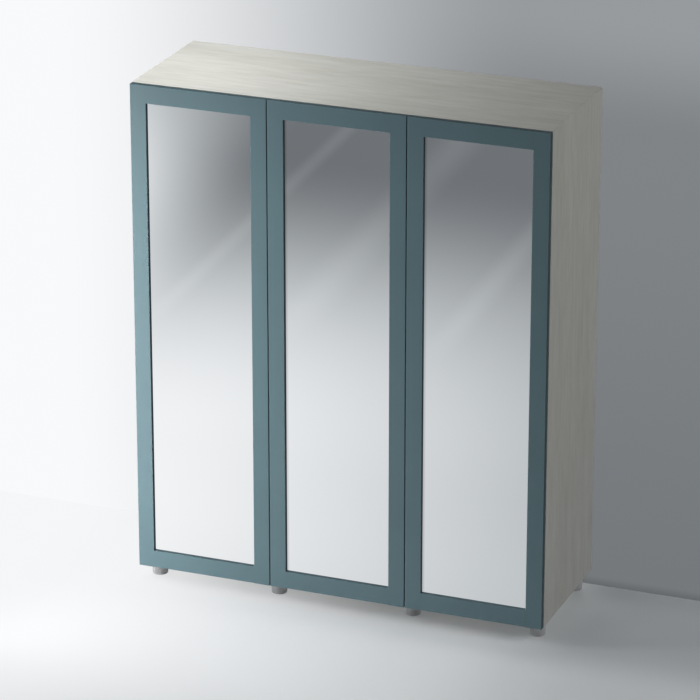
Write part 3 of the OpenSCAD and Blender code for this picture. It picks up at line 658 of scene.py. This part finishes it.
def board_face(n):
    """Distance from the door's hinge edge to the face of the board that carries its hinges."""
    x, inward = hinge_edge(n)
    face = PARTITIONS[0] + BOARD / 2 if n == 2 else inward * -(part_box("side_right")[1].x - BOARD)
    return abs(face - x)


class WARDROBE_OT_screws(bpy.types.Operator):
    """Cross-slotted screws in the hinges and the foot plates"""

    bl_idname = "wardrobe.screws"
    bl_label = "Screws"

    def execute(self, context):
        fittings, finish = context.scene.wardrobe_fittings, context.scene.wardrobe_finish
        metal = plated("screw zinc", finish.zinc, 0.30, 400.0)

        def driven(shank, turn, axes, *place):
            """One screw, turned by an angle of its own, with its head's bearing at a place."""
            return placed(screw(fittings.screw_head, fittings.screw_rise, SHANK, shank, turn), axes, [place])

        plates, arms, under = [], [], []
        for n in DOORS:
            x, inward = hinge_edge(n)
            plate_x = x + inward * (board_face(n) + PLATE_T)
            wings = []
            for i, z in enumerate(hinge_heights()):
                for s in (-1, 1):
                    turn = 0.7 * i + 1.9 * s + n
                    wings += driven(
                        WING_SHANK, turn, TO_BACK,
                        x + inward * CUP_IN, DOOR_BACK_Y + WING_T, z + s * WING_SCREW)
                    plates += driven(
                        PLATE_SHANK, turn + 0.4, TO_SIDE[inward],
                        plate_x, CASE_Y + PLATE_SET, z + s * PLATE_PITCH / 2)
                arms += driven(
                    ARM_SHANK, 1.3 * i + n, TO_SIDE[inward], plate_x + inward * ARM_H, CASE_Y + ARM_SCREW, z)
            build(f"door_{n}_wing_screws", wings, metal, f"door_{n}")
        build("hinge_plate_screws", plates, metal, "carcass")
        build("hinge_arm_screws", arms, metal, "carcass")
        for i, (x, y) in enumerate((x, y) for x in FOOT_X for y in FOOT_Y):
            for j, (sx, sy) in enumerate(((-1, -1), (1, -1), (-1, 1), (1, 1))):
                under += driven(
                    FOOT_SHANK, 0.9 * i + 1.7 * j, DOWN,
                    x + sx * FOOT_SCREW, y + sy * FOOT_SCREW, FOOT_PLATE_LOW)
        build("foot_plate_screws", under, metal, "carcass")
        return {"FINISHED"}


class WARDROBE_OT_feet(bpy.types.Operator):
    """Turned feet with a rounded lower edge, a shadow groove and a dark glide"""

    bl_idname = "wardrobe.feet"
    bl_label = "Feet"

    def execute(self, context):
        fittings, finish = context.scene.wardrobe_fittings, context.scene.wardrobe_finish
        radius, edge, top = fittings.foot_radius, fittings.foot_edge, FOOT_PLATE_LOW
        rise = 0.0012  # of the foot's underside above the floor, on its glide
        bore, bore_floor = 0.0051, top - 0.030
        groove_z, groove_r, arris = 0.0105, 0.0005, 0.001
        flat_r = radius - edge - 0.0020
        outline = [
            [0, rise], [flat_r, rise],
            *quarter((radius - edge, rise + edge), edge, -90, 0, 6),
            *quarter((radius, groove_z), groove_r, -90, -270, 6),
            *quarter((radius - arris, top - arris), arris, 0, 90, 3),
            [bore, top], [bore, bore_floor], [0, bore_floor]]
        glide_r, glide_edge, glide_top = flat_r - 0.0002, 0.0003, rise + 0.0002
        glide = [
            [0, 0], [glide_r - glide_edge, 0], [glide_r, glide_edge], [glide_r, glide_top], [0, glide_top]]
        places = [(x, y, 0) for x in FOOT_X for y in FOOT_Y]
        feet = build(
            "turned_feet", placed(turned(outline, 96), UPRIGHT, places),
            moulded("satin foot", finish.foot, 0.42), "carcass")
        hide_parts("feet")
        build(
            "foot_glides", placed(turned(glide, 64), UPRIGHT, places),
            moulded("glide", scaled(finish.foot, 0.25), 0.7), "carcass")
        return {"FINISHED"}


class WARDROBE_OT_buffers(bpy.types.Operator):
    """Clear domed buffers on the partition edges, behind the doors' free edges"""

    bl_idname = "wardrobe.buffers"
    bl_label = "Door Buffers"

    def execute(self, context):
        radius = context.scene.wardrobe_fittings.buffer_radius
        low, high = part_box("door_buffers")
        rise = CASE_Y - low.y
        wall = 0.25 * rise
        dome = [[0, 0], [radius, 0], [radius, wall]]
        dome += [[radius * math.cos(a), wall + (rise - wall) * math.sin(a)] for a in np.linspace(0.2, 1.4, 7)]
        dome += [[0, rise]]
        gap = DOOR_LEFT[2] - DOOR_RIGHT[1]
        inset = (BOARD / 2 + gap / 2) / 2
        xs = (PARTITIONS[0] - inset, PARTITIONS[1] - inset, PARTITIONS[1] + inset)
        places = [(x, CASE_Y, z) for x in xs for z in (low.z + radius, high.z - radius)]
        buffers = build(
            "domed_buffers", placed(turned(dome, 32), TO_FRONT, places), clear_rubber(), "carcass")
        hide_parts("door_buffers")
        return {"FINISHED"}


class WARDROBE_OT_backing_clips(bpy.types.Operator):
    """Spring clips that hold the mirror's backing in the frame, seen when a door is open"""

    bl_idname = "wardrobe.backing_clips"
    bl_label = "Backing Clips"

    def execute(self, context):
        fittings, finish = context.scene.wardrobe_fittings, context.scene.wardrobe_finish
        steel = plated("clip steel", finish.steel, 0.30, 300.0)
        metal = plated("clip screw", finish.zinc, 0.32, 400.0)
        half_w, half_t, arris = fittings.clip_width / 2, 0.0003, 0.00012
        corners = ((half_w, half_t), (-half_w, half_t), (-half_w, -half_t), (half_w, -half_t))
        profile = []
        for number, (p, q) in enumerate(corners):
            centre = (p - math.copysign(arris, p), q - math.copysign(arris, q))
            profile += quarter(centre, arris, 90 * number, 90 * number + 90, 2)
        # Along the clip, 0 to 1: flat on the frame, a soft step down to the backing, then a raised tip
        t = np.linspace(0, 1, 25)
        step = np.clip((t - 0.50) / 0.28, 0, 1)
        tip = 0.0006 * np.clip((t - 0.86) / 0.14, 0, 1) ** 2
        lift = half_t - (DOOR_BACK_Y - BACKING_Y) * step ** 2 * (3 - 2 * step) + tip
        # Along the clip and to its screw, both from the frame's inner edge
        on_frame, screw_reach = 0.0125, -0.0070
        reach = fittings.clip_length * t - on_frame
        # From the door's outer edge to that inner edge, on the stiles and on the rails
        stile_core, rail_core = 0.060, 0.066
        # Radius and rise of the clip screw's head, radius and length of its shank
        clip_screw = (0.0028, 0.0010, 0.0012, 0.004)
        for n in DOORS:
            clips, screws = [], []
            left, right = DOOR_LEFT[n], DOOR_RIGHT[n]
            heights = DOOR_LOW + (DOOR_HIGH - DOOR_LOW) * np.linspace(0.08, 0.92, 6)
            widths = left + (right - left) * np.array([0.3, 0.7])
            spots = [(left + stile_core, z, 1, 0) for z in heights]
            spots += [(right - stile_core, z, -1, 0) for z in heights]
            spots += [(x, DOOR_LOW + rail_core, 0, 1) for x in widths]
            spots += [(x, DOOR_HIGH - rail_core, 0, -1) for x in widths]
            for number, (x, z, dx, dz) in enumerate(spots):
                path = np.stack([x + dx * reach, DOOR_BACK_Y + lift, z + dz * reach], -1)
                clips.append(carried(profile, path, (dz, 0, -dx)))
                screws += placed(
                    screw(*clip_screw, 0.8 * number + n), TO_BACK,
                    [(x + dx * screw_reach, DOOR_BACK_Y + 2 * half_t, z + dz * screw_reach)])
            build(f"door_{n}_backing_clips", clips, steel, f"door_{n}")
            build(f"door_{n}_clip_screws", screws, metal, f"door_{n}")
        return {"FINISHED"}


class WARDROBE_OT_stage(bpy.types.Operator):
    """Pale floor and wall, soft light from the left and the camera"""

    bl_idname = "wardrobe.stage"
    bl_label = "Stage"

    def execute(self, context):
        stage = context.scene.wardrobe_stage
        self.floor()
        self.wall()
        self.surround(context, stage)
        for name, place, target, size, tint in LAMPS:
            self.lamp(name, getattr(stage, name), place, target, size, tint)
        bays = [-PARTITION_REACH, *PARTITIONS, PARTITION_REACH]
        for number, (low, high) in enumerate(zip(bays, bays[1:])):
            middle = (low + high) / 2
            self.lamp(
                f"inside {number + 1}", stage.inside, (middle, CASE_Y + 0.02, 1.15), (middle, 0.3, 1.15),
                (high - low - 0.10, 1.9))
        self.camera(context, stage)
        return {"FINISHED"}

    def floor(self):
        """Pale floor that takes the wardrobe's shadow, with painted shade and shadow in its colour, a painted
        glow for the camera, and a painted glow of its own in the mirrors.
        """
        r = Recipe("pale floor")
        x, y, _ = r.axes()
        # Lit by the lamps, over a colour with painted shade: darker at the left, where the lamps are
        # strongest, a painted shadow beside the wardrobe's right end and painted shade towards the wall
        tone = r.ramp(r.span(x, -1.3, 0.3), [(0.0, (0.74, 0.745, 0.750)), (1.0, (0.93, 0.955, 0.980))])
        painted_shadow_beside = r.maths("MULTIPLY", r.span(x, 0.4, 1.2), r.span(y, -0.62, -0.20, 0.33, 1.0))
        tone = r.mix(painted_shadow_beside, tone, (0.575, 0.62, 0.66))
        # Painted shade at the foot of the wall, deeper near and behind the wardrobe
        corner = r.maths("MULTIPLY", r.span(x, 1.25, 0.92), r.span(y, 0.05, 0.33, 0.0, 0.20))
        tone = r.mix(r.maths("ADD", corner, r.span(y, 0.12, 0.33, 0.0, 0.15)), tone, (0.0, 0.0, 0.0))
        r.finish(Base_Color=tone, Roughness=0.75, Specular_IOR_Level=0.1)
        # What the mirrors show of the floor, a painted glow in place of its lit look: pale close by, dark
        # further out, white far to the left, and three faint slanting bands
        slant = r.maths("SUBTRACT", x, r.maths("MULTIPLY", y, 0.062))
        pale = r.span(slant, -1.67, 1.45, 0.764, 0.265)
        glow = r.maths("MULTIPLY", pale, r.span(y, -5.88, -1.84))
        glow = r.maths("ADD", glow, r.span(y, -2.05, -0.72, 0.177, 0.238))
        glow = r.maths("ADD", glow, r.span(y, -7.0, -14.0, 0.0, 0.326))
        side = r.span(r.maths("SUBTRACT", x, r.maths("MULTIPLY", y, 0.182)), -1.44, -3.15)
        side = r.maths("MULTIPLY", side, r.span(y, -6.94, -4.41, 0.341, 1.0))
        glow = r.maths("ADD", glow, r.maths("MULTIPLY", side, r.maths("SUBTRACT", 2.0, glow)))
        glow = r.maths("MINIMUM", glow, 0.94)
        far = r.span(y, -3.0, -3.8, 0.0, 0.039)
        for centre, half in ((-1.94, 0.084), (-1.26, 0.188), (-0.45, 0.116)):
            away = r.maths("ABSOLUTE", r.maths("SUBTRACT", slant, centre))
            glow = r.maths("ADD", glow, r.maths("MULTIPLY", far, r.span(away, 0.0, half, 1.0, 0.0)))
        painted_glow = r.add("ShaderNodeEmission", {"Color": r.ramp(glow, [
            (0.0, (0.0, 0.0, 0.0)), (0.17, (0.158, 0.170, 0.182)), (0.60, (0.574, 0.600, 0.620)),
            (0.93, (0.921, 0.930, 0.944)), (1.0, (1.0, 1.0, 1.0))])}).outputs["Emission"]
        # What the camera sees: the lit floor with a painted glow that makes it a little paler everywhere and
        # more so before and under the doors, and a painted white glow at the left
        before = r.maths("MULTIPLY", r.span(x, 1.4, 0.5), r.span(x, -0.9, 0.2))
        before = r.maths("MULTIPLY", r.span(y, -0.34, -0.60), before)
        under = r.maths("MULTIPLY", r.span(y, -0.44, -0.30), r.span(x, 1.05, 0.80))
        path = r.add("ShaderNodeLightPath")
        lift = r.maths("ADD", r.maths("MULTIPLY", before, 0.075), r.maths("MULTIPLY", under, 0.07))
        lift = r.maths("ADD", lift, 0.04)
        r.finish(
            Emission_Color=(0.97, 0.99, 1.0),
            Emission_Strength=r.maths("MULTIPLY", path.outputs["Is Camera Ray"], lift))
        white = r.add("ShaderNodeEmission", {"Color": (0.915, 0.925, 0.940, 1)}).outputs["Emission"]
        painted_glow_left = r.maths("MULTIPLY", path.outputs["Is Camera Ray"], r.span(x, -1.5, 0.4, 1.0, 0.0))
        lit = r.add("ShaderNodeMixShader", {0: painted_glow_left, 1: r.shader.outputs["BSDF"], 2: white})
        mirrored = r.maths("MAXIMUM", path.outputs["Is Glossy Ray"], path.outputs["Is Transmission Ray"])
        both = r.add("ShaderNodeMixShader", {0: mirrored, 1: lit.outputs["Shader"], 2: painted_glow})
        # Clear from below, so that the underside can be looked at
        below = r.maths("MULTIPLY", path.outputs["Is Camera Ray"], r.add(
            "ShaderNodeNewGeometry").outputs["Backfacing"])
        clear = r.add("ShaderNodeBsdfTransparent").outputs["BSDF"]
        either = r.add("ShaderNodeMixShader", {0: below, 1: both.outputs["Shader"], 2: clear})
        r.surface(either.outputs["Shader"])
        reach = 40.0
        corners = np.array([[-1, -1, 0], [1, -1, 0], [1, 1, 0], [-1, 1, 0]], float) * reach
        build("floor", [(corners, [np.array([[0, 1, 2, 3]])])], r.material, None)

    def wall(self):
        """A painted glow, white at the left and grey at the right as if lit from the left, with a painted
        shadow behind the wardrobe's right end and painted shade along its foot. Only the camera sees it, and
        only from in front, so it hides nothing from behind and keeps no light off the back."""
        r = Recipe("pale wall")
        x, _, z = r.axes()
        # Painted light falling off from white at the left to grey at the right
        tone = r.span(x, -1.6, 0.6, 0.95, 0.325)
        # Painted shadow of the wardrobe's right end on the wall, and painted shade at the wall's foot
        shade = r.maths("ADD", r.span(z, 2.5, 2.0, 0.0, 0.30), r.span(z, 2.0, -0.2, 0.0, 0.12))
        shade = r.maths("ADD", shade, r.span(z, 0.045, 0.0, 0.0, 0.14))
        shade = r.maths("MULTIPLY", shade, r.span(x, -0.3, 0.8))
        tone = r.maths("MULTIPLY", tone, r.maths("SUBTRACT", 1.0, shade))
        painted_glow = r.add("ShaderNodeEmission", {"Color": r.ramp(tone, [
            (0.0, (0.0, 0.0, 0.0)), (0.2, (0.188, 0.202, 0.213)), (0.45, (0.430, 0.450, 0.468)),
            (0.95, (0.940, 0.950, 0.962)), (1.0, (1.0, 1.0, 1.0))])}).outputs["Emission"]
        ahead = r.maths("SUBTRACT", 1.0, r.add("ShaderNodeNewGeometry").outputs["Backfacing"])
        seen = r.maths("MULTIPLY", r.add("ShaderNodeLightPath").outputs["Is Camera Ray"], ahead)
        clear = r.add("ShaderNodeBsdfTransparent").outputs["BSDF"]
        r.surface(r.add("ShaderNodeMixShader", {0: seen, 1: clear, 2: painted_glow}).outputs["Shader"])
        y, reach, rise = CAD_BOX[1][1] + 0.006, 40.0, 14.0
        corners = np.array([[-reach, y, 0], [reach, y, 0], [reach, y, rise], [-reach, y, rise]], float)
        build("wall", [(corners, [np.array([[0, 1, 2, 3]])])], r.material, None)

    def surround(self, context, stage):
        """Weak light from all round, and a plain grey where the camera or a mirror looks past the floor."""
        world = bpy.data.worlds.new("studio")
        world.use_nodes = True
        context.scene.world = world
        tree = world.node_tree
        tree.nodes.clear()
        light = tree.nodes.new("ShaderNodeBackground")
        light.inputs["Color"].default_value = (0.97, 0.985, 1.0, 1)
        light.inputs["Strength"].default_value = stage.ambient
        seen = tree.nodes.new("ShaderNodeBackground")
        seen.inputs["Color"].default_value = (*stage.surround, 1)
        path = tree.nodes.new("ShaderNodeLightPath")
        either = tree.nodes.new("ShaderNodeMath")
        either.operation = "MAXIMUM"
        tree.links.new(path.outputs["Is Camera Ray"], either.inputs[0])
        tree.links.new(path.outputs["Is Glossy Ray"], either.inputs[1])
        mix = tree.nodes.new("ShaderNodeMixShader")
        end = tree.nodes.new("ShaderNodeOutputWorld")
        tree.links.new(either.outputs[0], mix.inputs[0])
        tree.links.new(light.outputs[0], mix.inputs[1])
        tree.links.new(seen.outputs[0], mix.inputs[2])
        tree.links.new(mix.outputs[0], end.inputs["Surface"])

    def lamp(self, name, watts, place, target, size, tint=WHITE):
        """A soft light at a place, turned to its target, which neither the camera nor a mirror sees."""
        light = bpy.data.lights.new(name, "AREA")
        light.shape = "RECTANGLE"
        light.size, light.size_y = size
        light.energy = watts
        light.color = tint
        lamp = bpy.data.objects.new(name, light)
        bpy.context.scene.collection.objects.link(lamp)
        lamp.location = place
        lamp.visible_camera = lamp.visible_glossy = False
        aim = np.array(target) - np.array(place)
        lamp.rotation_euler = (
            math.atan2(math.hypot(aim[0], aim[1]), -aim[2]), 0, math.atan2(-aim[0], aim[1]))

    def camera(self, context, stage):
        """The photograph's viewing angle: turned left by yaw and tilted down, in radians, with no shift."""
        yaw, down = 0.37205, 0.36735
        data = bpy.data.cameras.new("camera")
        data.sensor_width = 36
        data.lens = stage.lens
        data.clip_end = 200
        camera = bpy.data.objects.new("camera", data)
        context.scene.collection.objects.link(camera)
        camera.location = (5.56386, -14.43054, 7.00560)
        camera.rotation_euler = (math.pi / 2 - down, 0, yaw)
        context.scene.camera = camera
        context.scene.view_settings.view_transform = "Standard"


class WARDROBE_PT_panel(bpy.types.Panel):
    """Lists the wardrobe's operators and settings"""

    bl_idname = "WARDROBE_PT_panel"
    bl_label = "Mirror Door Wardrobe"
    bl_space_type = "VIEW_3D"
    bl_region_type = "UI"
    bl_category = "Wardrobe"

    def draw(self, context):
        for group in ("wardrobe_finish", "wardrobe_fittings", "wardrobe_stage"):
            values = getattr(context.scene, group)
            box = self.layout.box()
            for name in values.__annotations__:
                box.prop(values, name)
        for operator in OPERATORS:
            self.layout.operator(operator.bl_idname)


OPERATORS = (
    WARDROBE_OT_stage,
    WARDROBE_OT_oak_boards,
    WARDROBE_OT_door_frames,
    WARDROBE_OT_mirrors,
    WARDROBE_OT_hinges,
    WARDROBE_OT_screws,
    WARDROBE_OT_feet,
    WARDROBE_OT_buffers,
    WARDROBE_OT_backing_clips,
)
GROUPS = {
    "wardrobe_finish": WardrobeFinish,
    "wardrobe_fittings": WardrobeFittings,
    "wardrobe_stage": WardrobeStage,
}


def register():
    for name, group in GROUPS.items():
        bpy.utils.register_class(group)
        setattr(bpy.types.Scene, name, bpy.props.PointerProperty(type=group))
    for item in (*OPERATORS, WARDROBE_PT_panel):
        bpy.utils.register_class(item)


def unregister():
    for item in (WARDROBE_PT_panel, *reversed(OPERATORS)):
        bpy.utils.unregister_class(item)
    for name, group in GROUPS.items():
        delattr(bpy.types.Scene, name)
        bpy.utils.unregister_class(group)


def main():
    """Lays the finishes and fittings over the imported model."""
    register()
    bpy.ops.wardrobe.stage()
    bpy.ops.wardrobe.oak_boards()
    bpy.ops.wardrobe.door_frames()
    bpy.ops.wardrobe.mirrors()
    bpy.ops.wardrobe.hinges()
    bpy.ops.wardrobe.screws()
    bpy.ops.wardrobe.feet()
    bpy.ops.wardrobe.buffers()
    bpy.ops.wardrobe.backing_clips()


if __name__ == "__main__":
    main()
